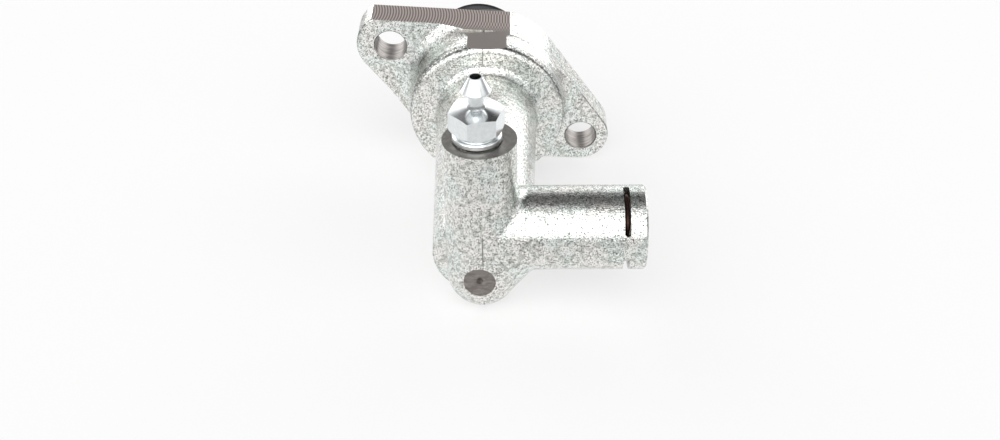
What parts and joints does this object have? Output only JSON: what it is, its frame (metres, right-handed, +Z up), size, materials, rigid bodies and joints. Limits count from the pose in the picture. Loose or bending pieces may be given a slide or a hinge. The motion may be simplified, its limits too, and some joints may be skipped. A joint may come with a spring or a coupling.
{
  "type": "clutch slave cylinder",
  "caption": "Flange-mounted hydraulic clutch slave cylinder in cast aluminium with side quick-connect port, bleed screw, sprung piston, pushrod and rubber dust boot.",
  "frame": {"origin": "centre of the flange's mounting face, on the bore's axis", "axes": "+Y along the bore towards the pushrod, +Z up towards the bleed screw, +X towards the pipe port's mouth"},
  "size_m": [0.0724, 0.132, 0.0714],
  "materials": {
    "cast_aluminium": "shot-blasted die casting, milled faces darker",
    "zinc_plate": "bright zinc plate",
    "anodised_aluminium": "turned and hard anodised",
    "seal_rubber": "smooth moulded rubber",
    "spring_steel": "oil-blackened spring wire",
    "rod_steel": "ground steel",
    "boot_rubber": "matt moulded rubber"
  },
  "bodies": {
    "root": {"body_casting": "cast_aluminium", "stop_washer": "zinc_plate", "bore_circlip": "spring_steel", "port_clip": "spring_steel", "return_spring": "spring_steel", "dust_boot": "boot_rubber", "boot_ring": "spring_steel"},
    "piston": {"piston": "anodised_aluminium", "primary_cup": "seal_rubber", "secondary_seal": "seal_rubber", "spring_seat": "zinc_plate", "pushrod_clip": "spring_steel"},
    "pushrod": {"pushrod": "rod_steel"},
    "bleed_screw": {"bleed_screw": "zinc_plate"}
  },
  "joints": [
    {"name": "piston_stroke", "type": "slide", "parent": "root", "child": "piston", "axis": [0, 1, 0], "range_m": [-0.016, 0], "deforming": ["return_spring", "dust_boot"]},
    {"name": "pushrod_swivel", "type": "hinge", "parent": "piston", "child": "pushrod", "pos_m": [0, -0.009, 0], "axis": [0, 0, 1], "range_deg": [-12, 0]},
    {"name": "bleed_turn", "type": "hinge", "parent": "root", "child": "bleed_screw", "pos_m": [-0.0005, -0.086, 0.036], "axis": [0, 0, 1], "range_deg": [0, 360]}
  ]
}
